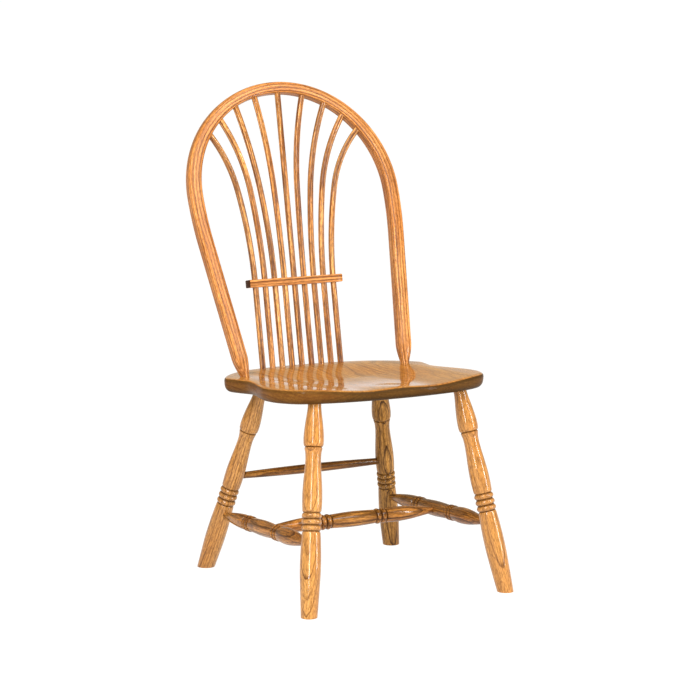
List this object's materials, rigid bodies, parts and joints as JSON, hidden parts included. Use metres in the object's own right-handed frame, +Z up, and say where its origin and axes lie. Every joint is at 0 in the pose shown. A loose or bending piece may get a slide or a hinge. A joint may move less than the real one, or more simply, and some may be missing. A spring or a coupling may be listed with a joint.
{
  "type": "windsor side chair",
  "caption": "Oak side chair with a saddled seat, a bent bow back, spindles gathered by a bar and fanned out above it, and turned splayed legs with stretchers.",
  "frame": {"origin": "on the floor, midway between the outermost points of the chair in both directions", "axes": "+Z up, -Y towards the front edge of the seat, +X towards the side at the viewer's right when the chair is seen from the front"},
  "size_m": [0.5198, 0.6534, 1.065],
  "materials": {
    "seat_oak": "gloss lacquer",
    "back_oak": "gloss lacquer",
    "leg_oak": "gloss lacquer",
    "stretcher_oak": "gloss lacquer"
  },
  "bodies": {
    "root": {"seat_stave_1": "seat_oak", "seat_stave_2": "seat_oak", "seat_stave_3": "seat_oak", "seat_stave_4": "seat_oak", "seat_stave_5": "seat_oak", "seat_stave_6": "seat_oak", "bow": "back_oak", "spindle_1": "back_oak", "spindle_2": "back_oak", "spindle_3": "back_oak", "spindle_4": "back_oak", "spindle_5": "back_oak", "spindle_6": "back_oak", "spindle_7": "back_oak", "spindle_8": "back_oak", "spindle_9": "back_oak", "sheaf_bar": "back_oak", "leg_front_left": "leg_oak", "leg_front_right": "leg_oak", "leg_rear_left": "leg_oak", "leg_rear_right": "leg_oak", "side_stretcher_left": "stretcher_oak", "side_stretcher_right": "stretcher_oak", "centre_stretcher": "stretcher_oak", "rear_stretcher": "stretcher_oak"}
  },
  "joints": []
}
